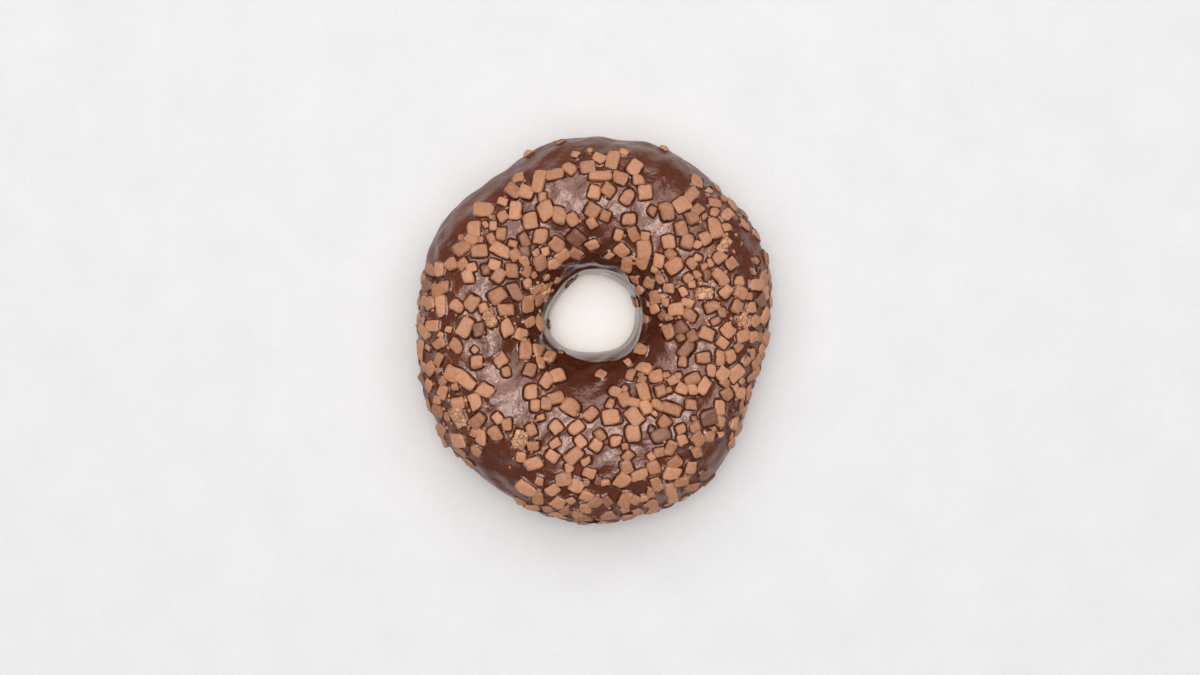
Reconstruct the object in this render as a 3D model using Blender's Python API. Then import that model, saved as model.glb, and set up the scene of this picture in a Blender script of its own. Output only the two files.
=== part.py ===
"""A fried ring doughnut, dipped in dark chocolate and scattered with chopped milk chocolate.

Metres, +Z up. It lies flat on z = 0, with its origin under the middle of its box, and is longest
along Y. Angles are in degrees. "around" runs round the ring from +X. "turn" runs round the ring's
section: 0 at the outer side, 90 at the crown, 180 at the wall of the hole and 270 underneath.
"""

import math
import random

import bmesh
import bpy
from mathutils import Matrix, Vector

# The dough ring
OUTER_RADIUS = 0.0435
HOLE_RADIUS = 0.0117
HOLE_CENTRE = Vector((0.0000, 0.0036, 0.0))
DOUGH_HEIGHT = 0.0266
WAIST_HEIGHT = 0.0122  # of the section's widest point on the outer side
HOLE_WAIST_HEIGHT = 0.0085  # and in the hole, whose wall leans in towards the foot
BASE_SHARE = 1.066  # of the waist's height that the section would reach down, if the base weren't flat
CROWN_POWER = 0.88  # 1 is an ellipse, and less is squarer
BASE_POWER = 0.74

# Uneven forms: how many crests go round the ring, how high they are, and where the first one is
OUTLINE_WAVES = (
    (2, 0.0022, 80),
    (3, 0.0006, 43),
    (4, 0.0004, 31),
    (5, 0.0006, 11),
    (6, 0.0003, 23),
    (7, 0.0002, 2),
    (9, 0.0003, 27),
    (10, 0.0002, 31),
)
HOLE_WAVES = ((2, 0.0005, 14), (3, 0.0004, 91), (4, 0.0002, 29), (5, 0.0001, 40))
CROWN_WAVES = ((1, 0.0006, 215), (2, 0.0004, 60), (5, 0.0004, 20), (7, 0.0002, 35))

# The icing: a shell over the top, from an edge on the outer side to an edge inside the hole
GAP = 0.0003  # between the icing and the dough
ICING_THICKNESS = 0.0019
ICING_EDGE_POWER = 0.45  # how full the icing's rounded edges are
OUTER_EDGE = -5.0  # turn of the icing's outer edge
HOLE_EDGE = 199.0
OUTER_EDGE_WAVES = (
    (1, 8.0, 227),
    (2, 5.0, 227),
    (3, 3.5, 105),
    (5, 2.0, 12),
    (8, 1.8, 30),
    (13, 1.2, 9),
)
HOLE_EDGE_WAVES = ((2, 5.0, 100), (3, 3.0, 20), (5, 2.5, 50))

# The chopped chocolate
PIECES = 252
ALL_PIECES = 500  # the rule sizes this many, and the solids hold the largest of them
SHORTEST_PIECE = 0.0015
COMMON_RANGE = 0.0034  # from the shortest piece to a large one
COMMON_POWER = 0.75  # below 1, so that there are more large pieces than small ones
LONGEST_RANGE = 0.0015  # from a large piece to the few longest
LONGEST_POWER = 14  # the higher, the fewer they are
PIECE_WIDTHS = (0.74, 1.0)  # of the length
WIDEST = (0.0031, 0.0042)
PIECE_HEIGHTS = (0.0018, 0.0028)
PIECE_TILT = 6.0  # typical, either way
CORNERS = (0.80, 1.12)  # how far out each corner of a piece lies, as a share
TOP_SHARE = 0.92  # of the foot's length and width that the top keeps
PRESSED_HEIGHT = 0.5  # share of its height that a piece keeps on the outer side
PIECE_SINK = 0.45  # share of a piece's height that is in the icing on the crown
SIDE_SINK = 0.64  # and on the outer side
LEAST_COVER = 0.0004  # of icing under the deepest corner
EDGE_MARGIN = 7.0  # turns between the icing's outer edge and the lowest pieces
PIECE_SPACING = 0.80  # of two pieces' mean widths
CROWDED_SHARE = 0.35  # of the pieces, which may lie against others
CROWDED_SPACING = 0.65
TRIED_TURNS = (-4.0, 172.0)
TRIES = 400
SEED = 41

# How the pieces thin out down the two sides, as a turn where half stay and the turns it takes
OUTER_THINNING = (16.0, 12.0)
HOLE_THINNING = (136.0, 9.0)
LEAST_SHARE = 0.04  # of the pieces tried at the foot of a side that stay

# Places seen from above where few pieces lie: x, y, radius
BARE_PATCHES = (
    (0.0077, 0.0277, 0.0040),
    (0.0180, 0.0362, 0.0060),
    (0.0365, 0.0190, 0.0055),
    (-0.0195, -0.0177, 0.0042),
    (0.0040, -0.0305, 0.0042),
    (-0.0370, 0.0190, 0.0050),
    (-0.0226, -0.0355, 0.0065),
    (0.0290, -0.0300, 0.0045),
    (-0.0010, -0.0120, 0.0065),
    (0.0138, -0.0040, 0.0050),
    (0.0012, 0.0195, 0.0045),
    (-0.0050, 0.0320, 0.0045),
    (-0.0240, -0.0033, 0.0035),
    (-0.0304, 0.0273, 0.0040),
)
BARE_PATCH_SHARE = 0.06  # of the pieces tried there that stay
BARE_RIM = (50.0, 158.0)  # around, where few pieces lie on the outer slope
BARE_RIM_SHARE = 0.03
RIM_TURN = 56.0  # the outer slope is below this turn

# How finely the smooth skins are faceted
DOUGH_FACETS = (64, 22)
ICING_FACETS = (64, 26)
KEPT_FACETS = 0.8  # of the fused icing's, which are many slivers where pieces meet it
SHARP_ANGLE = 35.0  # edges of the pieces bend more than this, and the smooth skins less


def wave(around, crests):
    """The sum of cosines round the ring."""
    return sum(high * math.cos(math.radians(n * (around - first))) for n, high, first in crests)


def along(around, radius):
    angle = math.radians(around)
    return Vector((math.cos(angle), math.sin(angle), 0.0)) * radius


def powered(value, power):
    """The value's magnitude to a power, with its sign."""
    return math.copysign(abs(value) ** power, value)


def ring_point(around, turn):
    """A point of the dough's skin."""
    outer = along(around, OUTER_RADIUS + wave(around, OUTLINE_WAVES))
    inner = HOLE_CENTRE + along(around, HOLE_RADIUS + wave(around, HOLE_WAVES))
    middle, reach = (outer + inner) / 2, (outer - inner) / 2
    across, up = math.cos(math.radians(turn)), math.sin(math.radians(turn))
    waist = WAIST_HEIGHT + (HOLE_WAIST_HEIGHT - WAIST_HEIGHT) * (1 - across) / 2
    if up >= 0:
        crown = DOUGH_HEIGHT - waist + wave(around, CROWN_WAVES)
        height = waist + crown * powered(up, CROWN_POWER)
        return middle + reach * powered(across, CROWN_POWER) + Vector((0, 0, height))
    height = max(0.0, waist * (1 + BASE_SHARE * powered(up, BASE_POWER)))
    return middle + reach * powered(across, BASE_POWER) + Vector((0, 0, height))


def ring_axes(around, turn, step=1.0):
    """Unit vectors at a point of the skin: round the ring, up the section, and outwards."""
    round_ring = (ring_point(around + step, turn) - ring_point(around - step, turn)).normalized()
    up_section = (ring_point(around, turn + step) - ring_point(around, turn - step)).normalized()
    outwards = round_ring.cross(up_section).normalized()
    return round_ring, outwards.cross(round_ring), outwards


def lifted_point(around, turn, lift):
    """A point at a height above the dough's skin."""
    return ring_point(around, turn) + ring_axes(around, turn)[2] * lift


def icing_edges(around):
    """The turns of the icing's two edges."""
    return OUTER_EDGE + wave(around, OUTER_EDGE_WAVES), HOLE_EDGE + wave(around, HOLE_EDGE_WAVES)


def icing_lift(around, turn):
    """How high above the dough the icing's top is."""
    first, last = icing_edges(around)
    share = min(1.0, max(0.0, (turn - first) / (last - first)))
    return GAP + ICING_THICKNESS * max(0.0, math.sin(math.pi * share)) ** ICING_EDGE_POWER


def icing_point(around, shell_turn):
    """A point of the icing's skin, out over the top for half a turn and back underneath."""
    over = shell_turn < 180
    share = shell_turn / 180 if over else 2 - shell_turn / 180
    first, last = icing_edges(around)
    turn = first + (last - first) * share
    return lifted_point(around, turn, icing_lift(around, turn) if over else GAP)


def box_middle():
    """The middle, seen from above, of the icing's box. It becomes the origin."""
    rim = [lifted_point(around, 0.0, icing_lift(around, 0.0)) for around in range(360)]
    xs, ys = [p.x for p in rim], [p.y for p in rim]
    return Vector(((min(xs) + max(xs)) / 2, (min(ys) + max(ys)) / 2, 0.0))


def rising(turn, middle, width):
    """From 0 well below the middle to 1 well above it."""
    return 0.5 + 0.5 * math.tanh((turn - middle) / width)


def staying_share(around, turn, place):
    """How likely it is that a piece tried at this place stays."""
    if turn < icing_edges(around)[0] + EDGE_MARGIN:
        return 0.0
    share = rising(turn, *OUTER_THINNING) * (1 - rising(turn, *HOLE_THINNING))
    share = LEAST_SHARE + (1 - LEAST_SHARE) * share
    low, high = BARE_RIM
    if turn < RIM_TURN and low < (around + 180) % 360 - 180 < high:
        share *= BARE_RIM_SHARE
    for x, y, radius in BARE_PATCHES:
        if math.hypot(place.x - x, place.y - y) < radius:
            share *= BARE_PATCH_SHARE
    return share


def scattered_pieces(count):
    """The largest pieces, each as its around, turn, length, width, height, yaw and two tilts."""
    draw = random.Random(SEED)
    pieces = []
    for number in range(count):
        large = 1 - number / (ALL_PIECES - 1)
        common = SHORTEST_PIECE + COMMON_RANGE * large**COMMON_POWER
        length = common + LONGEST_RANGE * large**LONGEST_POWER
        width = min(length * draw.uniform(*PIECE_WIDTHS), draw.uniform(*WIDEST))
        height = min(width, draw.uniform(*PIECE_HEIGHTS))
        yaw = draw.uniform(0, 180)
        tilts = (draw.gauss(0, PIECE_TILT), draw.gauss(0, PIECE_TILT))
        spacing = CROWDED_SPACING if draw.random() < CROWDED_SHARE else PIECE_SPACING
        for _ in range(TRIES):
            around, turn = draw.uniform(0, 360), draw.uniform(*TRIED_TURNS)
            place = lifted_point(around, turn, icing_lift(around, turn))
            on_ring = math.hypot(place.x, place.y) / OUTER_RADIUS
            if draw.random() > on_ring * staying_share(around, turn, place):
                continue
            reach = (length + width) / 4
            if all((place - other[0]).length > spacing * (reach + other[1]) for other in pieces):
                pieces.append((place, reach, (around, turn, length, width, height, yaw, tilts)))
                break
    return [piece for _, _, piece in pieces]


def piece_matrix(around, turn, height, yaw, tilts):
    """Where a piece lies: on the icing, partly sunk in it, turned and tilted."""
    axes = Matrix(ring_axes(around, turn)).transposed().to_4x4()
    level = max(0.0, math.sin(math.radians(turn)))
    height *= PRESSED_HEIGHT + (1 - PRESSED_HEIGHT) * level
    sunk = height * (SIDE_SINK + (PIECE_SINK - SIDE_SINK) * level)
    place = lifted_point(around, turn, icing_lift(around, turn) + height / 2 - sunk)
    turned = Matrix.Rotation(math.radians(yaw), 4, "Z")
    tilted = Matrix.Rotation(math.radians(tilts[0]), 4, "X") @ Matrix.Rotation(math.radians(tilts[1]), 4, "Y")
    return Matrix.Translation(place) @ axes @ turned @ tilted @ Matrix.Diagonal((1, 1, height, 1))


def keep_in_icing(point, around, turn):
    """Lifts a corner that would come too near the dough."""
    site, outwards = ring_point(around, turn), ring_axes(around, turn)[2]
    height = (point - site).dot(outwards)
    return point + outwards * max(0.0, GAP + LEAST_COVER - height)


def add_material(name, color, roughness):
    material = bpy.data.materials.new(name)
    material.use_nodes = True
    shader = material.node_tree.nodes["Principled BSDF"]
    shader.inputs["Base Color"].default_value = (*color, 1.0)
    shader.inputs["Roughness"].default_value = roughness
    shader.inputs["Metallic"].default_value = 0.0
    material.diffuse_color = (*color, 1.0)
    return material


def add_ring(name, facets, shape, origin, material, collection):
    """A torus whose points are moved to where shape(around, turn) puts them."""
    bpy.ops.mesh.primitive_torus_add(
        major_segments=facets[0], minor_segments=facets[1], major_radius=1.0, minor_radius=0.25
    )
    ring = bpy.context.object
    ring.name = ring.data.name = name
    for vertex in ring.data.vertices:
        x, y, z = vertex.co
        around = math.degrees(math.atan2(y, x))
        turn = math.degrees(math.atan2(z, math.hypot(x, y) - 1.0)) % 360
        vertex.co = shape(around, turn) - origin
    ring.data.materials.append(material)
    ring.data.shade_smooth()
    for other in list(ring.users_collection):
        other.objects.unlink(ring)
    collection.objects.link(ring)
    return ring


def add_piece(number, piece, origin, material, collection):
    """One chopped piece: a block with uneven corners."""
    around, turn, length, width, height, yaw, tilts = piece
    draw = random.Random(SEED + number)
    bm = bmesh.new()
    bmesh.ops.create_cube(bm, size=1.0)
    matrix = piece_matrix(around, turn, height, yaw, tilts)
    for vertex in bm.verts:
        x, y, z = (share * draw.uniform(*CORNERS) for share in vertex.co)
        taper = TOP_SHARE if z > 0 else 1.0
        corner = matrix @ Vector((x * length * taper, y * width * taper, z))
        vertex.co = keep_in_icing(corner, around, turn) - origin
    mesh = bpy.data.meshes.new(f"piece_{number}")
    bm.to_mesh(mesh)
    bm.free()
    mesh.materials.append(material)
    block = bpy.data.objects.new(mesh.name, mesh)
    collection.objects.link(block)


def keep_outer_skin(mesh):
    """Fills the hollows that fused pieces seal between them, by dropping all but the largest skin."""
    bm = bmesh.new()
    bm.from_mesh(mesh)
    unseen, skins = set(bm.verts), []
    while unseen:
        skin, edge = set(), [unseen.pop()]
        while edge:
            vertex = edge.pop()
            skin.add(vertex)
            near = {e.other_vert(vertex) for e in vertex.link_edges} & unseen
            unseen -= near
            edge.extend(near)
        skins.append(skin)
    skins.sort(key=len)
    bmesh.ops.delete(bm, geom=[v for skin in skins[:-1] for v in skin], context="VERTS")
    bmesh.ops.triangulate(bm, faces=bm.faces, quad_method="BEAUTY", ngon_method="BEAUTY")
    bm.to_mesh(mesh)
    bm.free()


def join_pieces(icing, pieces):
    """Fuses the pieces to the icing and removes their own objects."""
    union = icing.modifiers.new("fused pieces", "BOOLEAN")
    union.operation = "UNION"
    union.operand_type = "COLLECTION"
    union.collection = pieces
    union.solver = "MANIFOLD"
    bpy.context.view_layer.objects.active = icing
    bpy.ops.object.modifier_apply(modifier=union.name)
    for block in list(pieces.objects):
        bpy.data.meshes.remove(block.data)
    bpy.data.collections.remove(pieces)
    keep_outer_skin(icing.data)
    thinned = icing.modifiers.new("slivers thinned out", "DECIMATE")
    thinned.ratio = KEPT_FACETS
    icing.data.set_sharp_from_angle(angle=math.radians(SHARP_ANGLE))


def main():
    for item in list(bpy.data.objects):
        bpy.data.objects.remove(item)
    doughnut = bpy.data.collections.new("doughnut")
    loose_pieces = bpy.data.collections.new("loose pieces")
    for collection in (doughnut, loose_pieces):
        bpy.context.scene.collection.children.link(collection)
    fried = add_material("fried dough", (0.56, 0.27, 0.08), 0.62)
    dark = add_material("dark chocolate", (0.055, 0.019, 0.012), 0.30)
    milk = add_material("milk chocolate", (0.46, 0.21, 0.095), 0.55)
    origin = box_middle()
    add_ring("dough", DOUGH_FACETS, ring_point, origin, fried, doughnut)
    icing = add_ring("icing", ICING_FACETS, icing_point, origin, dark, doughnut)
    icing.data.materials.append(milk)
    for number, piece in enumerate(scattered_pieces(PIECES)):
        add_piece(number, piece, origin, milk, loose_pieces)
    join_pieces(icing, loose_pieces)


main()
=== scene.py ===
"""The visual model of a ring doughnut, dipped in dark chocolate and scattered with chopped milk chocolate.

Metres, +Z up, in the frame of the solids. Angles are in degrees. "around" runs round the ring from
+X. "turn" runs round the ring's section: 0 at the outer side, 90 at the crown, 180 at the wall of
the hole and 270 underneath. The measures and the rule that scatters the pieces are those of the
solids, so each piece lies where its solid is.
"""

import math
import random

import bmesh
import bpy
import numpy as np
from mathutils import Matrix, Vector
from mathutils.bvhtree import BVHTree


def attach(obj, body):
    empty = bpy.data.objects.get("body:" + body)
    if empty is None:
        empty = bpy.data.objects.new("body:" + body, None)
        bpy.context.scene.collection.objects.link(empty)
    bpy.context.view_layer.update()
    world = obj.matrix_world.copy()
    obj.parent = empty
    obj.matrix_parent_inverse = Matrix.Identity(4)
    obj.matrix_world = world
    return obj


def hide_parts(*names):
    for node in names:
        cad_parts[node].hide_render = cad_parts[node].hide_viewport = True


# The dough ring
OUTER_RADIUS = 0.0435
HOLE_RADIUS = 0.0117
HOLE_CENTRE = np.array([0.0000, 0.0036, 0.0])
DOUGH_HEIGHT = 0.0266
WAIST_HEIGHT = 0.0122  # of the section's widest point on the outer side
HOLE_WAIST_HEIGHT = 0.0085  # and in the hole, whose wall leans in towards the foot
BASE_SHARE = 1.066  # of the waist's height that the section would reach down, if the base weren't flat
CROWN_POWER = 0.88  # 1 is an ellipse, and less is squarer
BASE_POWER = 0.74

# Uneven forms: how many crests go round the ring, how high they are, and where the first one is
OUTLINE_WAVES = (
    (2, 0.0022, 80),
    (3, 0.0006, 43),
    (4, 0.0004, 31),
    (5, 0.0006, 11),
    (6, 0.0003, 23),
    (7, 0.0002, 2),
    (9, 0.0003, 27),
    (10, 0.0002, 31),
)
HOLE_WAVES = ((2, 0.0005, 14), (3, 0.0004, 91), (4, 0.0002, 29), (5, 0.0001, 40))
CROWN_WAVES = ((1, 0.0006, 215), (2, 0.0004, 60), (5, 0.0004, 20), (7, 0.0002, 35))

# The icing: a shell over the top, from an edge on the outer side to an edge inside the hole
GAP = 0.0003  # between the solid icing and the solid dough
ICING_THICKNESS = 0.0019
ICING_EDGE_POWER = 0.45  # how full the icing's rounded edges are
OUTER_EDGE = -5.0  # turn of the icing's outer edge
HOLE_EDGE = 199.0
OUTER_EDGE_WAVES = (
    (1, 8.0, 227),
    (2, 5.0, 227),
    (3, 3.5, 105),
    (5, 2.0, 12),
    (8, 1.8, 30),
    (13, 1.2, 9),
)
HOLE_EDGE_WAVES = ((2, 5.0, 100), (3, 3.0, 20), (5, 2.5, 50))
FINE_EDGE_WAVES = ((19, 0.9, 4), (31, 0.7, 8), (47, 0.5, 3))  # of both edges
EDGE_BEAD = 0.0008  # height and width of the icing's rounded lip
SKIN_PER_DEGREE = 0.00027  # way along the skin for each degree of turn
LIP_TO_RIPPLES = 0.004  # way from the icing's edge in which its ripples grow to their full height
SKIN_SINK = 0.00015  # how far the icing's underside is in the dough's skin

# The chopped chocolate
ALL_PIECES = 500
SOLID_PIECES = 252  # the largest, which the solids have too
LARGE_PIECES = 150  # the largest of these, and only they can be crumbled
SHORTEST_PIECE = 0.0015
COMMON_RANGE = 0.0034  # from the shortest piece to a large one
COMMON_POWER = 0.75  # below 1, so that there are more large pieces than small ones
LONGEST_RANGE = 0.0015  # from a large piece to the few longest
LONGEST_POWER = 14  # the higher, the fewer they are
PIECE_WIDTHS = (0.74, 1.0)  # of the length
WIDEST = (0.0031, 0.0042)
PIECE_HEIGHTS = (0.0018, 0.0028)
PIECE_TILT = 6.0  # typical, either way
CORNERS = (0.80, 1.12)  # how far out each corner of a piece lies, as a share
TOP_SHARE = 0.92  # of the foot's length and width that the top keeps
PRESSED_HEIGHT = 0.5  # share of its height that a piece keeps on the outer side
PIECE_SINK = 0.45  # share of a piece's height that is in the icing on the crown
SIDE_SINK = 0.64  # and on the outer side
LEAST_COVER = 0.0004  # of icing under the deepest corner
EDGE_MARGIN = 7.0  # turns between the icing's outer edge and the lowest pieces
PIECE_SPACING = 0.80  # of two pieces' mean widths
CROWDED_SHARE = 0.35  # of the pieces, which may lie against others
CROWDED_SPACING = 0.65
TRIED_TURNS = (-4.0, 172.0)
TRIES = 400
SEED = 41

# How the pieces thin out down the two sides, as a turn where half stay and the turns it takes
OUTER_THINNING = (16.0, 12.0)
HOLE_THINNING = (136.0, 9.0)
LEAST_SHARE = 0.04  # of the pieces tried at the foot of a side that stay

# Places seen from above where few pieces lie: x, y, radius
BARE_PATCHES = (
    (0.0077, 0.0277, 0.0040),
    (0.0180, 0.0362, 0.0060),
    (0.0365, 0.0190, 0.0055),
    (-0.0195, -0.0177, 0.0042),
    (0.0040, -0.0305, 0.0042),
    (-0.0370, 0.0190, 0.0050),
    (-0.0226, -0.0355, 0.0065),
    (0.0290, -0.0300, 0.0045),
    (-0.0010, -0.0120, 0.0065),
    (0.0138, -0.0040, 0.0050),
    (0.0012, 0.0195, 0.0045),
    (-0.0050, 0.0320, 0.0045),
    (-0.0240, -0.0033, 0.0035),
    (-0.0304, 0.0273, 0.0040),
)
BARE_PATCH_SHARE = 0.06  # of the pieces tried there that stay
BARE_RIM = (50.0, 158.0)  # around, where few pieces lie on the outer slope
BARE_RIM_SHARE = 0.03
RIM_TURN = 56.0  # the outer slope is below this turn

# Sides of the ring, from one around to another, that have fewer small pieces than the rule gives
SPARSE_SIDES = ((75.0, 125.0), (160.0, 250.0))
SPARSE_SHARE = 0.55  # of the small pieces there that are left out

# Places seen from above where the nearest large piece is cracked and crumbling: x, y
CRUMBLED_PLACES = (
    (-0.0154, 0.0107),
    (-0.0319, -0.0180),
    (-0.0263, -0.0002),
    (0.0260, 0.0107),
    (0.0345, 0.0055),
    (-0.0190, -0.0290),
    (0.0310, 0.0205),
)

# How the fine surfaces are made
ICING_GRID = (620, 150, 8)  # round the ring, over the top, and back underneath
EDGE_ROWS_SHARE = 0.2  # how much the icing's rows are crowded towards its two edges
HOLE_EDGE_SHIFT = 11  # degrees between the fine waves of the icing's two edges
DOUGH_GRID = (480, 132)
BASE_LEVEL = 0.0001  # the dough's points that are lower than this are in its flat base
LARGE_CUTS = 6  # of each edge of a piece's block
SMALL_CUTS = 4
CRUMBLED_CUTS = 13
CRUMB_CUTS = 1
EDGE_CROWDING = 0.75  # below 1, so that a block's cuts are closer together near its edges
PIECE_ROUNDING = (4.5, 9.0)  # the higher, the sharper the edges
CHIPS = (2, 6)  # broken-off corners of a piece, at least the first and less than the second
CHIP_SLOPES = (-0.1, 1.0)  # how much a broken side faces upwards
CHIP_REACHES = (0.70, 0.95)  # of the way from a piece's middle to its furthest corner
MENISCUS_HEIGHT = 0.00016  # how much the glaze rises all round a piece
MENISCUS_WIDTH = 0.0007
MENISCUS_REACH = 0.003  # past half of a piece's length, the glaze no longer rises
SIDE_SHARE = 0.44  # of a piece's length and width, from its middle to its rounded side

# First seeds of the draws for the scene's own detail
CHIP_SEED = SEED + 1000
TONE_SEED = SEED + 2000
CRUMB_SEED = SEED + 7
ICING_SEED = 3
DOUGH_SEED = 8
PIECE_SEED = 20

# The steep collar of glaze on a piece's sides: out from the side, up from the glaze, and how much painted
# shade it carries
COLLAR = (
    (-0.00012, 0.00038, 1.0),
    (0.00004, 0.00024, 1.0),
    (0.00016, 0.00012, 0.85),
    (0.00034, 0.00004, 0.4),
    (0.00056, -0.00003, 0.0),
)
COLLAR_POINTS = 28  # round each piece
COLLARED_HEIGHT = 0.0009  # a piece that stands less high out of the glaze has a lower collar
COLLAR_SHADE_TURN = 45.0  # below this, down the outer side, the collars' painted shade is paler

# Folds in the glaze on the wall of the hole: middle turn, sway, its phase, width and height
FOLDS = (
    (151.0, 5.0, 130.0, 3.6, 0.00040),
    (172.0, 4.0, 20.0, 5.0, 0.00036),
)
THREEFOLD_SWAY = 0.4  # share of its sway by which a fold also sways three times round the ring
FOLD_STRENGTH = (0.6, 0.4)  # mean share of its height that a fold has, and how much that varies
CALM_WALL = (145.0, 160.0)  # turns between which the glaze's ripples fade
WALL_RIPPLE = 0.25  # share of the ripples that is left on the wall

# Relief as wavelengths and heights, and the film of glaze on some of the pieces
ICING_RELIEF = ((0.011, 0.00018), (0.0045, 0.00010))
DOUGH_RELIEF = ((0.009, 0.00012), (0.0035, 0.00006))
PIECE_RELIEF = ((0.0016, 0.00006), (0.0007, 0.00003))
CRUMBLED_RELIEF = ((0.0016, 0.00012), (0.0009, 0.00008), (0.0005, 0.00004))
FILM_TURN = 28.0  # below this, more pieces have a thick film
FILM_LOW_DOWN = 1.6  # the lower this power, the more of the pieces are thickly covered
FILM_HIGH_UP = 5.0

# Crumbs of chocolate, some anywhere and some round each crumbled piece
LOOSE_CRUMBS = 170
CRUMBS_ROUND_EACH = 24
CRUMB_SIZES = (0.0003, 0.0010)
CRUMB_REACH = (4.5, 8.0)  # typical, round the ring and round its section, from a crumbled piece
CRUMB_RISE = 0.2  # of a crumb's shortest side, from the glaze to the crumb's middle

# The camera and the lamps
CAMERA_PLACE = np.array([0.00165, -0.00204, 0.499])  # from the centre of the ring's outer circle
DAYLIGHT = (1.0, 0.99, 0.985)
BEAM_HEIGHT = 1.0
BEAM_RADIUS = 0.0105  # on the floor


def wave(around, crests):
    """The sum of cosines round the ring."""
    return sum(high * np.cos(np.radians(n * (around - first))) for n, high, first in crests)


def along(around, radius):
    angle = np.radians(around)
    return np.stack([np.cos(angle) * radius, np.sin(angle) * radius, 0.0 * angle], axis=-1)


def powered(value, power):
    """The value's magnitude to a power, with its sign."""
    return np.copysign(np.abs(value) ** power, value)


def unit(vectors):
    return vectors / np.linalg.norm(vectors, axis=-1, keepdims=True)


def ring_point(around, turn):
    """Points of the dough's skin."""
    outer = along(around, OUTER_RADIUS + wave(around, OUTLINE_WAVES))
    inner = HOLE_CENTRE + along(around, HOLE_RADIUS + wave(around, HOLE_WAVES))
    middle, reach = (outer + inner) / 2, (outer - inner) / 2
    across, up = np.cos(np.radians(turn)), np.sin(np.radians(turn))
    over = up >= 0
    waist = WAIST_HEIGHT + (HOLE_WAIST_HEIGHT - WAIST_HEIGHT) * (1 - across) / 2
    crown = DOUGH_HEIGHT - waist + wave(around, CROWN_WAVES)
    above = waist + crown * powered(up, CROWN_POWER)
    below = np.maximum(0.0, waist * (1 + BASE_SHARE * powered(up, BASE_POWER)))
    point = middle + reach * powered(across, np.where(over, CROWN_POWER, BASE_POWER))[..., None]
    point[..., 2] = np.where(over, above, below)
    return point


def ring_axes(around, turn, step=1.0):
    """Unit vectors at points of the skin: round the ring, up the section, and outwards."""
    round_ring = unit(ring_point(around + step, turn) - ring_point(around - step, turn))
    up_section = unit(ring_point(around, turn + step) - ring_point(around, turn - step))
    outwards = unit(np.cross(round_ring, up_section))
    return round_ring, np.cross(outwards, round_ring), outwards


def lifted_point(around, turn, lift):
    """Points at a height above the dough's skin."""
    return ring_point(around, turn) + ring_axes(around, turn)[2] * np.asarray(lift)[..., None]


def icing_edges(around):
    """The turns of the icing's two edges."""
    return OUTER_EDGE + wave(around, OUTER_EDGE_WAVES), HOLE_EDGE + wave(around, HOLE_EDGE_WAVES)


def icing_lift(around, turn):
    """How high above the dough the icing's top is."""
    first, last = icing_edges(around)
    share = np.clip((turn - first) / (last - first), 0.0, 1.0)
    return GAP + ICING_THICKNESS * np.maximum(0.0, np.sin(np.pi * share)) ** ICING_EDGE_POWER


def box_middle():
    """The middle, seen from above, of the icing's box. It becomes the origin."""
    around = np.arange(360.0)
    rim = lifted_point(around, 0 * around, icing_lift(around, 0 * around))
    middle = (rim.min(axis=0) + rim.max(axis=0)) / 2
    return np.array([middle[0], middle[1], 0.0])


def rising(turn, middle, width):
    """From 0 well below the middle to 1 well above it."""
    return 0.5 + 0.5 * math.tanh((turn - middle) / width)


def staying_share(around, turn, place):
    """How likely it is that a piece tried at this place stays."""
    if turn < icing_edges(around)[0] + EDGE_MARGIN:
        return 0.0
    share = rising(turn, *OUTER_THINNING) * (1 - rising(turn, *HOLE_THINNING))
    share = LEAST_SHARE + (1 - LEAST_SHARE) * share
    low, high = BARE_RIM
    if turn < RIM_TURN and low < (around + 180) % 360 - 180 < high:
        share *= BARE_RIM_SHARE
    for x, y, radius in BARE_PATCHES:
        if math.hypot(place[0] - x, place[1] - y) < radius:
            share *= BARE_PATCH_SHARE
    return share


def scattered_pieces(count):
    """The largest pieces, each as its around, turn, length, width, height, yaw and two tilts."""
    draw = random.Random(SEED)
    pieces = []
    for number in range(count):
        large = 1 - number / (ALL_PIECES - 1)
        common = SHORTEST_PIECE + COMMON_RANGE * large**COMMON_POWER
        length = common + LONGEST_RANGE * large**LONGEST_POWER
        width = min(length * draw.uniform(*PIECE_WIDTHS), draw.uniform(*WIDEST))
        height = min(width, draw.uniform(*PIECE_HEIGHTS))
        yaw = draw.uniform(0, 180)
        tilts = (draw.gauss(0, PIECE_TILT), draw.gauss(0, PIECE_TILT))
        spacing = CROWDED_SPACING if draw.random() < CROWDED_SHARE else PIECE_SPACING
        for _ in range(TRIES):
            around, turn = draw.uniform(0, 360), draw.uniform(*TRIED_TURNS)
            place = lifted_point(around, turn, icing_lift(around, turn))
            on_ring = math.hypot(place[0], place[1]) / OUTER_RADIUS
            if draw.random() > on_ring * staying_share(around, turn, place):
                continue
            reach = (length + width) / 4
            if all(math.dist(place, other[0]) > spacing * (reach + other[1]) for other in pieces):
                pieces.append((place, reach, (around, turn, length, width, height, yaw, tilts)))
                break
    return [piece for _, _, piece in pieces]


def piece_matrix(around, turn, height, yaw, tilts):
    """Where a piece lies: on the icing, partly sunk in it, turned and tilted."""
    axes = Matrix([Vector(axis) for axis in ring_axes(around, turn)]).transposed().to_4x4()
    level = max(0.0, math.sin(math.radians(turn)))
    height *= PRESSED_HEIGHT + (1 - PRESSED_HEIGHT) * level
    sunk = height * (SIDE_SINK + (PIECE_SINK - SIDE_SINK) * level)
    place = lifted_point(around, turn, icing_lift(around, turn) + height / 2 - sunk)
    turned = Matrix.Rotation(math.radians(yaw), 4, "Z")
    tilt_x = Matrix.Rotation(math.radians(tilts[0]), 4, "X")
    tilt_y = Matrix.Rotation(math.radians(tilts[1]), 4, "Y")
    size = Matrix.Diagonal((1, 1, height, 1))
    return Matrix.Translation(place) @ axes @ turned @ (tilt_x @ tilt_y) @ size


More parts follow.
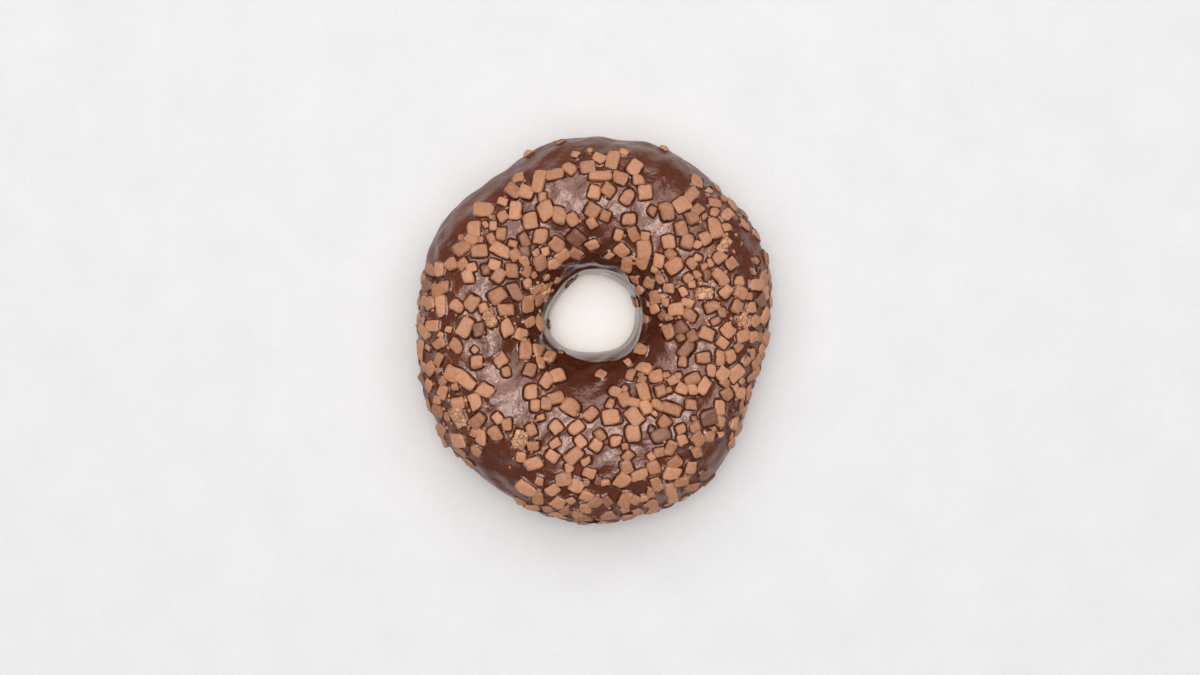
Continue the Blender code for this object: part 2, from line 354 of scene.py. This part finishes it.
def keep_in_icing(point, around, turn):
    """Lifts a corner that would come too near the dough."""
    site, outwards = ring_point(around, turn), ring_axes(around, turn)[2]
    height = (point - site) @ outwards
    return point + outwards * max(0.0, GAP + LEAST_COVER - height)


def block_corners():
    """A unit block's corners, in the order in which the solids' blocks have them."""
    bm = bmesh.new()
    bmesh.ops.create_cube(bm, size=1.0)
    corners = np.array([vertex.co[:] for vertex in bm.verts])
    bm.free()
    return corners


def fine_block(cuts):
    """A unit block with each face cut into squares: its points and its faces."""
    bm = bmesh.new()
    bmesh.ops.create_cube(bm, size=1.0)
    bmesh.ops.subdivide_edges(bm, edges=bm.edges[:], cuts=cuts, use_grid_fill=True)
    bm.verts.index_update()
    points = 2 * np.array([vertex.co[:] for vertex in bm.verts])
    faces = np.array([[vertex.index for vertex in face.verts] for face in bm.faces])
    bm.free()
    return powered(points, EDGE_CROWDING) / 2, faces


def random_field(points, wavelength, seed, waves=28):
    """A smooth random height of about 1 at each point, with crests about a wavelength apart."""
    draw = np.random.default_rng(seed)
    directions = unit(draw.normal(size=(waves, 3))) / (wavelength * draw.uniform(0.7, 1.4, (waves, 1)))
    phases = draw.uniform(0, 2 * np.pi, waves)
    return np.sin(2 * np.pi * points @ directions.T + phases).sum(axis=-1) * math.sqrt(2 / waves)


def relief_height(points, relief, first_seed):
    """The sum of a random field for each pair of a wavelength and a height."""
    return sum(
        high * random_field(points, wavelength, seed)
        for seed, (wavelength, high) in enumerate(relief, first_seed)
    )


def moved_corners(number, piece, corners):
    """The eight uneven corners of a piece, as its solid has them."""
    around, turn, length, width, height, yaw, tilts = piece
    draw = random.Random(SEED + number)
    matrix = piece_matrix(around, turn, height, yaw, tilts)
    moved = []
    for corner in corners:
        x, y, z = (share * draw.uniform(*CORNERS) for share in corner)
        taper = TOP_SHARE if z > 0 else 1.0
        place = np.array(matrix @ Vector((x * length * taper, y * width * taper, z)))
        moved.append(keep_in_icing(place, around, turn))
    return np.array(moved)


def chipped_block(number, points):
    """The unit block's points drawn in to rounded edges and a few broken-off corners."""
    draw = np.random.default_rng(CHIP_SEED + number)
    sides = np.concatenate([np.eye(3), -np.eye(3)])
    reaches = np.full(len(sides), 0.5)
    chips = draw.integers(*CHIPS)
    yaws = draw.uniform(0, 2 * np.pi, chips)
    slopes = draw.uniform(*CHIP_SLOPES, chips)
    broken = unit(np.stack([np.cos(yaws), np.sin(yaws), slopes], axis=-1))
    furthest = np.abs(broken).sum(axis=-1) / 2
    sides = np.concatenate([sides, broken])
    reaches = np.concatenate([reaches, furthest * draw.uniform(*CHIP_REACHES, chips)])
    directions = unit(points)
    pressed = np.maximum(0.0, directions @ sides.T / reaches)
    rounding = draw.uniform(*PIECE_ROUNDING)
    return directions / ((pressed**rounding).sum(axis=-1) ** (1 / rounding))[:, None]


def blended(shares, corners, moved):
    """Points given by their place in a unit block, moved with the block's corners."""
    weights = np.prod(0.5 + 2 * shares[:, None, :] * corners[None, :, :], axis=-1)
    return weights @ moved


def add_object(name, points, faces, material, **values):
    """A smooth mesh piece. Each further value is kept as a number at each point, for its material."""
    mesh = bpy.data.meshes.new(name)
    mesh.from_pydata(points.tolist(), [], faces.tolist())
    for label, numbers in values.items():
        layer = mesh.attributes.new(label, "FLOAT", "POINT")
        layer.data.foreach_set("value", np.asarray(numbers, np.float32))
    mesh.materials.append(material)
    mesh.shade_smooth()
    piece = bpy.data.objects.new(name, mesh)
    bpy.context.scene.collection.objects.link(piece)
    return piece


def closed_grid_faces(columns, rows):
    """The faces of a grid whose both ways close on themselves."""
    column, row = np.meshgrid(np.arange(columns), np.arange(rows), indexing="ij")
    next_column, next_row = (column + 1) % columns, (row + 1) % rows
    corners = [(column, row), (next_column, row), (next_column, next_row), (column, next_row)]
    return np.stack([(c * rows + r).ravel() for c, r in corners], axis=-1)


def left_out(number, piece):
    """Whether a small piece is on a sparse side of the ring and is one of those left out there."""
    sparse = any(low < piece[0] < high for low, high in SPARSE_SIDES)
    return sparse and number >= SOLID_PIECES and random.Random(SEED + number).random() < SPARSE_SHARE


def meniscus(points, pieces, corners, origin):
    """How near each point of the icing is to a piece, from 0 to 1 at its side."""
    near = np.zeros(len(points))
    for number, piece in enumerate(pieces):
        if left_out(number, piece):
            continue
        length, width = piece[2:4]
        moved = moved_corners(number, piece, corners) - origin
        centre = moved.mean(axis=0)
        reach = length * 0.5 + MENISCUS_REACH
        close = np.nonzero(((points - centre) ** 2).sum(axis=-1) < reach**2)[0]
        if not len(close):
            continue
        length_way = unit(moved[corners[:, 0] > 0].mean(axis=0) - centre)
        width_way = unit(moved[corners[:, 1] > 0].mean(axis=0) - centre)
        offset = points[close] - centre
        past_x = np.abs(offset @ length_way) - length * SIDE_SHARE
        past_y = np.abs(offset @ width_way) - width * SIDE_SHARE
        outside = np.hypot(np.maximum(past_x, 0.0), np.maximum(past_y, 0.0))
        near[close] = np.maximum(near[close], np.exp(-outside / MENISCUS_WIDTH))
    return near


def folds(around, turn):
    """The height of the glaze's folds round the wall of the hole, each stronger on one side."""
    height = 0.0
    mean, swing = FOLD_STRENGTH
    for middle, sway, phase, width, high in FOLDS:
        ridge = middle + sway * np.cos(np.radians(around - phase))
        ridge = ridge + THREEFOLD_SWAY * sway * np.cos(np.radians(3 * around))
        strength = mean + swing * np.cos(np.radians(2 * around + phase))
        height = height + high * strength * np.exp(-(((turn - ridge) / width) ** 2))
    return height


def make_icing(pieces, corners, origin, material):
    """The glaze, over the top from one edge to the other and back just inside the dough's skin."""
    columns, top_rows, back_rows = ICING_GRID
    rows = top_rows + back_rows
    around = np.repeat(np.arange(columns) * 360.0 / columns, rows).reshape(columns, rows)
    even = np.concatenate([np.linspace(0, 1, top_rows), np.linspace(1, 0, back_rows + 2)[1:-1]])
    crowded = 0.5 - 0.5 * np.cos(np.pi * even)
    share = (1 - EDGE_ROWS_SHARE) * even + EDGE_ROWS_SHARE * crowded
    share = np.broadcast_to(share, (columns, rows))
    over = np.broadcast_to(np.arange(rows) < top_rows, (columns, rows))
    first, last = icing_edges(around)
    first = first + wave(around, FINE_EDGE_WAVES)
    last = last + wave(around + HOLE_EDGE_SHIFT, FINE_EDGE_WAVES)
    turn = first + (last - first) * share
    edge_way = np.minimum(share, 1 - share) * (last - first) * SKIN_PER_DEGREE
    lip = EDGE_BEAD * np.sqrt(1 - (1 - np.minimum(edge_way / EDGE_BEAD, 1.0)) ** 2)
    top = np.maximum(icing_lift(around, turn), lip)
    site, outwards = ring_point(around, turn), ring_axes(around, turn)[2]
    level = site + outwards * top[..., None] - origin
    flat = level.reshape(-1, 3)
    near = meniscus(flat, pieces, corners, origin).reshape(columns, rows)
    ripple = relief_height(flat, ICING_RELIEF, ICING_SEED).reshape(columns, rows)
    inside = np.clip(edge_way / LIP_TO_RIPPLES, 0.0, 1.0)
    inside = inside * np.interp(turn, CALM_WALL, (1.0, WALL_RIPPLE))
    top = top + MENISCUS_HEIGHT * near + inside * ripple + folds(around, turn)
    lift = np.where(over, top, -SKIN_SINK)
    points = site + outwards * lift[..., None] - origin
    return add_object(
        "icing_glaze",
        points.reshape(-1, 3),
        closed_grid_faces(columns, rows),
        material,
        turn=turn.ravel(),
    )


def skin_of(piece):
    """The piece's faces, ready to be asked for the nearest place on them."""
    mesh = piece.data
    return BVHTree.FromPolygons([v.co for v in mesh.vertices], [face.vertices for face in mesh.polygons])


def make_collars(pieces, corners, origin, skin, material):
    """The glaze that has crept up the sides of the pieces, carrying painted shade along each piece's side.
    """
    angles = np.arange(COLLAR_POINTS) * 2 * np.pi / COLLAR_POINTS
    waterline = np.stack([np.cos(angles), np.sin(angles), 0 * angles], axis=-1)
    column, row = np.meshgrid(np.arange(COLLAR_POINTS), np.arange(len(COLLAR) - 1), indexing="ij")
    here, there = column * len(COLLAR) + row, (column + 1) % COLLAR_POINTS * len(COLLAR) + row
    collar_faces = np.stack([(here + 1).ravel(), (there + 1).ravel(), there.ravel(), here.ravel()], axis=-1)
    points, faces, painted_shades, turns = [], [], [], []
    for number, piece in enumerate(pieces):
        if left_out(number, piece):
            continue
        around, turn = piece[:2]
        moved = moved_corners(number, piece, corners) - origin
        side = blended(chipped_block(number, waterline), corners, moved)
        normal = ring_axes(around, turn)[2]
        out = side - moved.mean(axis=0)
        out = unit(out - (out @ normal)[:, None] * normal)
        site = lifted_point(around, turn, icing_lift(around, turn)) - origin
        standing = ((moved[corners[:, 2] > 0] - site) @ normal).mean()
        collared = min(1.0, standing / COLLARED_HEIGHT)
        faces.append(collar_faces + len(points))
        for place, way in zip(side, out):
            for past, rise, dark in COLLAR:
                ground, upright = skin.find_nearest(place + way * past)[:2]
                points.append(ground + upright * rise * collared)
                # painted shade: each collar point carries a share of dark for the crevice at the piece's
                # side, less down the outer side
                painted_shades.append(dark * min(1.0, turn / COLLAR_SHADE_TURN))
                turns.append(turn)
    return add_object(
        "glaze_collars", np.array(points), np.concatenate(faces), material, near=painted_shades, turn=turns
    )


def make_dough(origin, material):
    """The dough ring, a little wrinkled, with a flat base."""
    columns, rows = DOUGH_GRID
    around, turn = np.meshgrid(
        np.arange(columns) * 360.0 / columns, np.arange(rows) * 360.0 / rows, indexing="ij"
    )
    site, outwards = ring_point(around, turn), ring_axes(around, turn)[2]
    wrinkles = relief_height(site.reshape(-1, 3), DOUGH_RELIEF, DOUGH_SEED).reshape(columns, rows)
    points = site + outwards * wrinkles[..., None] - origin
    points[..., 2] = np.where(site[..., 2] < BASE_LEVEL, 0.0, np.maximum(points[..., 2], 0.0))
    return add_object("dough_ring", points.reshape(-1, 3), closed_grid_faces(columns, rows), material)


def crumbled_numbers(pieces, origin):
    """The large pieces nearest to the places where the chocolate is cracked."""
    places = np.array([ring_point(piece[0], piece[1]) - origin for piece in pieces[:LARGE_PIECES]])
    return {int(np.argmin(np.hypot(places[:, 0] - x, places[:, 1] - y))) for x, y in CRUMBLED_PLACES}


def make_pieces(name, numbers, pieces, corners, origin, cuts, relief, material):
    """The pieces with these numbers. The relief is pairs of a wavelength and a height."""
    block, block_faces = fine_block(cuts)
    points, faces, tones, films, rises = [], [], [], [], []
    for number in numbers:
        around, turn = pieces[number][:2]
        moved = moved_corners(number, pieces[number], corners) - origin
        shape = blended(chipped_block(number, block), corners, moved)
        outwards = unit(shape - moved.mean(axis=0))
        for seed, (wavelength, high) in enumerate(relief, PIECE_SEED):
            shape = shape + outwards * high * random_field(shape, wavelength, seed)[:, None]
        site = lifted_point(around, turn, icing_lift(around, turn)) - origin
        draw = random.Random(TONE_SEED + number)
        film = draw.random() ** (FILM_LOW_DOWN if turn < FILM_TURN else FILM_HIGH_UP)
        faces.append(block_faces + len(points) * len(block))
        points.append(shape)
        tones.append(np.full(len(block), draw.random()))
        films.append(np.full(len(block), film))
        height = (shape - site) @ ring_axes(around, turn)[2]
        rises.append(height / height.max())
    return add_object(
        name,
        np.concatenate(points),
        np.concatenate(faces),
        material,
        tone=np.concatenate(tones),
        film=np.concatenate(films),
        rise=np.concatenate(rises),
    )


def crumb_places(pieces, crumbled, draw):
    """Where the crumbs are tried, as around and turn."""
    places = []
    while len(places) < LOOSE_CRUMBS:
        around, turn = draw.uniform(0, 360), draw.uniform(*TRIED_TURNS)
        place = ring_point(around, turn)
        on_ring = math.hypot(place[0], place[1]) / OUTER_RADIUS
        if draw.random() < on_ring * staying_share(around, turn, place):
            places.append((around, turn))
    for number in sorted(crumbled):
        around, turn = pieces[number][:2]
        for _ in range(CRUMBS_ROUND_EACH):
            places.append((around + draw.gauss(0, CRUMB_REACH[0]), turn + draw.gauss(0, CRUMB_REACH[1])))
    return places


def make_crumbs(pieces, crumbled, origin, skin, material):
    """Crumbs that lie on the glaze, each turned its own way."""
    block, block_faces = fine_block(CRUMB_CUTS)
    draw = random.Random(CRUMB_SEED)
    points, faces, tones = [], [], []
    for number, (around, turn) in enumerate(crumb_places(pieces, crumbled, draw)):
        site = lifted_point(around, turn, icing_lift(around, turn)) - origin
        ground, upright = skin.find_nearest(site)[:2]
        sides = [draw.uniform(*CRUMB_SIZES) for _ in range(3)]
        axis = Vector([draw.gauss(0, 1) for _ in range(3)])
        turned = np.array(Matrix.Rotation(draw.uniform(0, math.pi), 3, axis))
        shape = (chipped_block(number, block) * sides) @ turned
        faces.append(block_faces + len(points) * len(block))
        points.append(shape + np.array(ground + upright * min(sides) * CRUMB_RISE))
        tones.append(np.full(len(block), draw.random()))
    tones = np.concatenate(tones)
    clear_of_glaze = np.ones(len(tones))
    return add_object(
        "chocolate_crumbs",
        np.concatenate(points),
        np.concatenate(faces),
        material,
        tone=tones,
        rise=clear_of_glaze,
    )


class Look:
    """A material's node tree, with short calls for the nodes it is made of."""

    def __init__(self, name):
        self.material = bpy.data.materials.new(name)
        self.material.use_nodes = True
        self.tree = self.material.node_tree
        self.shader = self.tree.nodes["Principled BSDF"]
        self.place = self.add("ShaderNodeTexCoord").outputs["Object"]

    def add(self, kind, inputs=(), **settings):
        node = self.tree.nodes.new(kind)
        for key, value in settings.items():
            setattr(node, key, value)
        for key, value in dict(inputs).items():
            self.put(node.inputs[key], value)
        return node

    def put(self, socket, value):
        if isinstance(value, bpy.types.NodeSocket):
            self.tree.links.new(value, socket)
        else:
            socket.default_value = value

    def noise(self, scale, detail=3.0, roughness=0.5):
        inputs = {"Vector": self.place, "Scale": scale, "Detail": detail, "Roughness": roughness}
        return self.add("ShaderNodeTexNoise", inputs).outputs[0]

    def value(self, name):
        return self.add("ShaderNodeAttribute", attribute_name=name).outputs["Fac"]

    def fit(self, value, low, high, to_low=0.0, to_high=1.0):
        inputs = {"Value": value, "From Min": low, "From Max": high, "To Min": to_low, "To Max": to_high}
        return self.add("ShaderNodeMapRange", inputs, clamp=True).outputs[0]

    def mix(self, share, first, second):
        node = self.add("ShaderNodeMix", data_type="RGBA")
        for index, value in ((0, share), (6, first), (7, second)):
            self.put(node.inputs[index], value)
        return node.outputs[2]

    def work(self, operation, first, second):
        node = self.add("ShaderNodeMath", operation=operation)
        self.put(node.inputs[0], first)
        self.put(node.inputs[1], second)
        return node.outputs[0]

    def bump(self, height, depth, strength=1.0, normal=None):
        inputs = {"Height": height, "Distance": depth, "Strength": strength}
        if normal:
            inputs["Normal"] = normal
        return self.add("ShaderNodeBump", inputs).outputs[0]

    def finish(self, **inputs):
        for key, value in inputs.items():
            self.put(self.shader.inputs[key.replace("_", " ")], value)
        return self.material


def colour(red, green, blue):
    return (red, green, blue, 1.0)


def glaze_look():
    """Dark chocolate, glossy on top, duller down the outer side, with painted shade down the slope into the
    hole and round each piece, and a painted reflection that makes the hole's wall paler and greyer.
    """
    look = Look("dark_chocolate_glaze")
    turn, near = look.value("turn"), look.value("near")
    thick, thin = colour(0.090, 0.0170, 0.0047), colour(0.134, 0.0285, 0.0100)
    painted_hole_slope_shade, painted_wall_reflection = colour(0.040, 0.0085, 0.0030), colour(0.24, 0.125, 0.085)
    painted_crevice_shade = colour(0.034, 0.0085, 0.0035)
    base = look.mix(look.fit(look.noise(130, 4), 0.35, 0.7), thick, thin)
    # painted shade: the glaze is darker down the slope into the hole, where less light reaches it
    base = look.mix(look.fit(turn, 110.0, 140.0, 0.0, 0.6), base, painted_hole_slope_shade)
    # painted reflection: the glaze on the hole's wall is paler and greyer, as if it reflected the bright
    # floor
    base = look.mix(look.fit(turn, 155.0, 176.0, 0.0, 0.5), base, painted_wall_reflection)
    broken = look.fit(look.noise(330, 2), 0.38, 0.62, 0.35, 1.0)
    # painted shade: a broken dark line round each piece, where the collars carry the shade of the crevice
    painted_outline_shade = look.work("MULTIPLY", look.fit(near, 0.3, 0.9), broken)
    base = look.mix(painted_outline_shade, base, painted_crevice_shade)
    uneven = look.fit(look.noise(210, 5, 0.6), 0.3, 0.7, 0.20, 0.38)
    dull_side = look.fit(turn, 15.0, 60.0, 0.18, 0.0)
    wet_hole = look.fit(turn, 135.0, 165.0, 0.0, -0.10)
    wet_collar = look.fit(near, 0.1, 0.6, 0.0, -0.10)
    wetness = look.work("ADD", wet_hole, wet_collar)
    roughness = look.work("ADD", uneven, look.work("ADD", dull_side, wetness))
    smooth_hole = look.fit(turn, 140.0, 156.0, 1.0, 0.08)
    waves = look.bump(look.noise(420, 3), 0.0003, smooth_hole)
    puckers = look.bump(look.noise(1000, 3), 0.00012, smooth_hole, waves)
    grain = look.bump(look.noise(3200, 2), 0.00002, normal=puckers)
    look.finish(Specular_IOR_Level=1.0, Specular_Tint=colour(1.0, 0.72, 0.62))
    coat_on_top = look.fit(turn, 10.0, 60.0, 0.0, 0.52)
    coat = look.work("MULTIPLY", coat_on_top, look.fit(turn, 145.0, 165.0, 1.0, 0.15))
    look.finish(Coat_Weight=coat, Coat_Roughness=0.18, Coat_Normal=grain)
    return look.finish(Base_Color=base, Roughness=roughness, Normal=grain)


def chocolate_look():
    """Milk chocolate between two tones, with paler powder, glaze in films, and glaze darkened with painted
    shade on its feet.
    """
    look = Look("milk_chocolate")
    dark, pale, powder = colour(0.365, 0.150, 0.074), colour(0.66, 0.31, 0.17), colour(0.74, 0.40, 0.24)
    film_of_glaze, glaze_and_shade_at_foot = colour(0.13, 0.045, 0.026), colour(0.040, 0.013, 0.008)
    own_tone = look.work("MULTIPLY", look.value("tone"), 0.75)
    mottle = look.fit(look.noise(750, 3), 0.3, 0.7, 0.0, 0.25)
    base = look.mix(look.work("ADD", own_tone, mottle), dark, pale)
    patches = look.noise(1500, 4, 0.65)
    base = look.mix(look.fit(patches, 0.5, 0.75, 0.0, 0.45), base, powder)
    film = look.fit(look.value("film"), 0.5, 1.0, 0.0, 0.75)
    base = look.mix(film, base, film_of_glaze)
    uneven = look.fit(look.noise(700, 3), 0.3, 0.7, -0.14, 0.14)
    clear = look.work("ADD", look.value("rise"), uneven)
    foot = look.fit(clear, 0.18, 0.46, 1.0, 0.0)
    # glaze at the foot, darker than the glaze itself as painted shade where the piece meets the glaze
    base = look.mix(foot, base, glaze_and_shade_at_foot)
    glossy = look.work("MAXIMUM", foot, film)
    roughness = look.fit(glossy, 0.0, 1.0, 0.62, 0.28)
    bumps = look.bump(look.noise(1100, 4, 0.6), 0.00018)
    grain = look.bump(look.noise(4500, 3, 0.7), 0.00004, normal=bumps)
    return look.finish(Base_Color=base, Roughness=roughness, Normal=grain)


def crumbled_look():
    """Chocolate that has crushed to a rough, golden crumb, with painted shade in its cracks and pale
    flecks.
    """
    look = Look("crushed_chocolate")
    brown, golden = colour(0.56, 0.25, 0.13), colour(0.90, 0.50, 0.30)
    painted_crack_shade, pale_fleck = colour(0.16, 0.055, 0.022), colour(0.97, 0.62, 0.42)
    wobble = look.add("ShaderNodeTexNoise", {"Vector": look.place, "Scale": 1000.0}).outputs["Color"]
    shift = {0: wobble, 1: (0.0014, 0.0014, 0.0014), 2: look.place}
    bent_place = look.add("ShaderNodeVectorMath", shift, operation="MULTIPLY_ADD").outputs[0]
    cells = {"Vector": bent_place, "Scale": 640.0}
    crumbs = look.add("ShaderNodeTexVoronoi", cells)
    tone = look.add("ShaderNodeSeparateColor", {"Color": crumbs.outputs["Color"]}).outputs[0]
    base = look.mix(tone, brown, golden)
    edges = look.add("ShaderNodeTexVoronoi", cells, feature="DISTANCE_TO_EDGE").outputs[0]
    # painted shade: dark lines in the cracks between the crumbs
    base = look.mix(look.fit(edges, 0.0, 0.08, 0.6, 0.0), base, painted_crack_shade)
    flecks = look.noise(2600, 2)
    # pale flecks dotted at random
    base = look.mix(look.fit(flecks, 0.56, 0.70, 0.0, 0.5), base, pale_fleck)
    bumps = look.bump(look.fit(edges, 0.0, 0.3), 0.0004)
    grain = look.bump(flecks, 0.00008, normal=bumps)
    return look.finish(Base_Color=base, Roughness=0.6, Normal=grain)


def crust_look():
    """Fried dough, golden to brown, with a pale band round its waist and dark spots of painted shade for
    pores.
    """
    look = Look("fried_crust")
    golden, brown = colour(0.54, 0.235, 0.065), colour(0.33, 0.122, 0.030)
    pale, pore_shade = colour(0.77, 0.51, 0.245), colour(0.24, 0.085, 0.022)
    height = look.add("ShaderNodeSeparateXYZ", {"Vector": look.place}).outputs["Z"]
    blotch = look.noise(90, 5, 0.6)
    crust = look.mix(look.fit(blotch, 0.3, 0.72), golden, brown)
    uneven = look.work("ADD", height, look.fit(look.noise(150, 3), 0.3, 0.7, -0.0012, 0.0012))
    above = look.fit(uneven, 0.0080, 0.0108)
    below = look.fit(uneven, 0.0120, 0.0150, 1.0, 0.0)
    band = look.work("MULTIPLY", above, below)
    base = look.mix(look.fit(band, 0.0, 1.0, 0.0, 0.8), crust, pale)
    pores = look.noise(850, 4, 0.7)
    # painted shade: dark spots for the shade in pores
    base = look.mix(look.fit(pores, 0.58, 0.72, 0.0, 0.6), base, pore_shade)
    blisters = look.bump(look.noise(260, 3), 0.0006)
    bumps = look.bump(look.noise(900, 5, 0.65), 0.0005, normal=blisters)
    return look.finish(Base_Color=base, Roughness=0.6, Normal=bumps)


def floor_look(origin):
    """A pale cloth, with painted light that makes it paler in the hole, where the wall keeps light from it.
    """
    look = Look("pale_cloth")
    mottle = look.noise(60, 5, 0.6)
    base = look.mix(look.fit(mottle, 0.3, 0.7), colour(0.82, 0.82, 0.83), colour(0.86, 0.86, 0.865))
    from_hole = {0: look.place, 1: tuple(HOLE_CENTRE - origin)}
    radius = look.add("ShaderNodeVectorMath", from_hole, operation="DISTANCE").outputs["Value"]
    # painted light: the floor in the hole is paler, where the wall keeps light from it
    painted_light_in_hole = look.work("MULTIPLY", look.fit(radius, 0.002, 0.009), look.fit(radius, 0.015, 0.025, 1.0, 0.0))
    base = look.mix(painted_light_in_hole, base, colour(1.0, 0.98, 0.95))
    weave = look.bump(look.noise(1500, 3), 0.0001)
    return look.finish(Base_Color=base, Roughness=0.9, Normal=weave)


def add_floor(origin):
    bpy.ops.mesh.primitive_plane_add(size=3.0)
    floor = bpy.context.object
    floor.name = "floor"
    floor.data.materials.append(floor_look(origin))


def add_camera(origin):
    """Straight above, a little off the ring's middle, as the photograph was taken."""
    camera = bpy.data.objects.new("camera", bpy.data.cameras.new("camera"))
    camera.data.sensor_width = 36.0
    camera.data.lens = 60.0
    camera.data.clip_start = 0.01
    camera.location = CAMERA_PLACE - origin
    bpy.context.scene.collection.objects.link(camera)
    bpy.context.scene.camera = camera


def add_light(name, place, size, power):
    light = bpy.data.lights.new(name, "AREA")
    light.shape = "RECTANGLE"
    light.size, light.size_y = size
    light.energy = power
    light.color = DAYLIGHT
    lamp = bpy.data.objects.new(name, light)
    lamp.location = place
    lamp.rotation_euler = (-Vector(place)).to_track_quat("-Z", "Y").to_euler()
    bpy.context.scene.collection.objects.link(lamp)


def add_hole_light(origin):
    """A narrow beam straight down, so that the floor in the hole is as bright as the floor around."""
    light = bpy.data.lights.new("beam_into_the_hole", "SPOT")
    light.energy = 15.0
    light.color = (1.0, 0.95, 0.88)
    light.spot_size = 2 * math.atan(BEAM_RADIUS / BEAM_HEIGHT)
    light.spot_blend = 0.15
    light.shadow_soft_size = 0.01
    lamp = bpy.data.objects.new("beam_into_the_hole", light)
    lamp.location = Vector(HOLE_CENTRE - origin) + Vector((0.0, 0.0, BEAM_HEIGHT))
    bpy.context.scene.collection.objects.link(lamp)


def light_scene(origin):
    scene = bpy.context.scene
    scene.view_settings.view_transform = "Standard"
    world = bpy.data.worlds.new("room")
    world.use_nodes = True
    background = world.node_tree.nodes["Background"]
    background.inputs["Color"].default_value = colour(1.0, 1.0, 1.0)
    background.inputs["Strength"].default_value = 0.14
    scene.world = world
    add_light("overhead_window", place=(-0.03, 0.06, 1.1), size=(0.40, 0.36), power=2.9)
    add_light("bright_ceiling", place=(0.0, 0.22, 1.1), size=(1.5, 1.7), power=14.3)
    add_hole_light(origin)


def main():
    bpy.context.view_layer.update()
    origin = box_middle()
    corners = block_corners()
    pieces = scattered_pieces(ALL_PIECES)
    crumbled = crumbled_numbers(pieces, origin)
    large = [number for number in range(SOLID_PIECES) if number not in crumbled]
    small = [
        number for number in range(SOLID_PIECES, len(pieces)) if not left_out(number, pieces[number])
    ]
    glaze, crushed, chocolate = glaze_look(), crumbled_look(), chocolate_look()
    icing = make_icing(pieces, corners, origin, glaze)
    skin = skin_of(icing)
    kinds = (
        ("large_chopped_chocolate", large, LARGE_CUTS, PIECE_RELIEF, chocolate),
        ("small_chopped_chocolate", small, SMALL_CUTS, PIECE_RELIEF, chocolate),
        ("crumbled_chocolate", sorted(crumbled), CRUMBLED_CUTS, CRUMBLED_RELIEF, crushed),
    )
    on_icing = [
        make_pieces(name, numbers, pieces, corners, origin, cuts, relief, look)
        for name, numbers, cuts, relief, look in kinds
    ]
    on_icing.append(make_crumbs(pieces, crumbled, origin, skin, chocolate))
    collars = make_collars(pieces, corners, origin, skin, glaze)
    dough = make_dough(origin, crust_look())
    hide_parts("icing")
    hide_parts("dough")
    slots = [(icing, "icing"), (collars, "icing"), (dough, "dough")]
    slots += [(piece, "pieces") for piece in on_icing]
    for piece, slot in slots:
        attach(piece, "root")
    add_floor(origin)
    add_camera(origin)
    light_scene(origin)


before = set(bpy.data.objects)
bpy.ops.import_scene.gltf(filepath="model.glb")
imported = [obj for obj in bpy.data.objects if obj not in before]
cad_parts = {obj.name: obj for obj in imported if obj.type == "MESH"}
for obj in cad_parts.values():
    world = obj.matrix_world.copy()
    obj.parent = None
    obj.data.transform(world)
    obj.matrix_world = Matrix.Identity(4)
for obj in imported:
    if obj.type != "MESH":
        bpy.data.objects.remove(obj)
main()
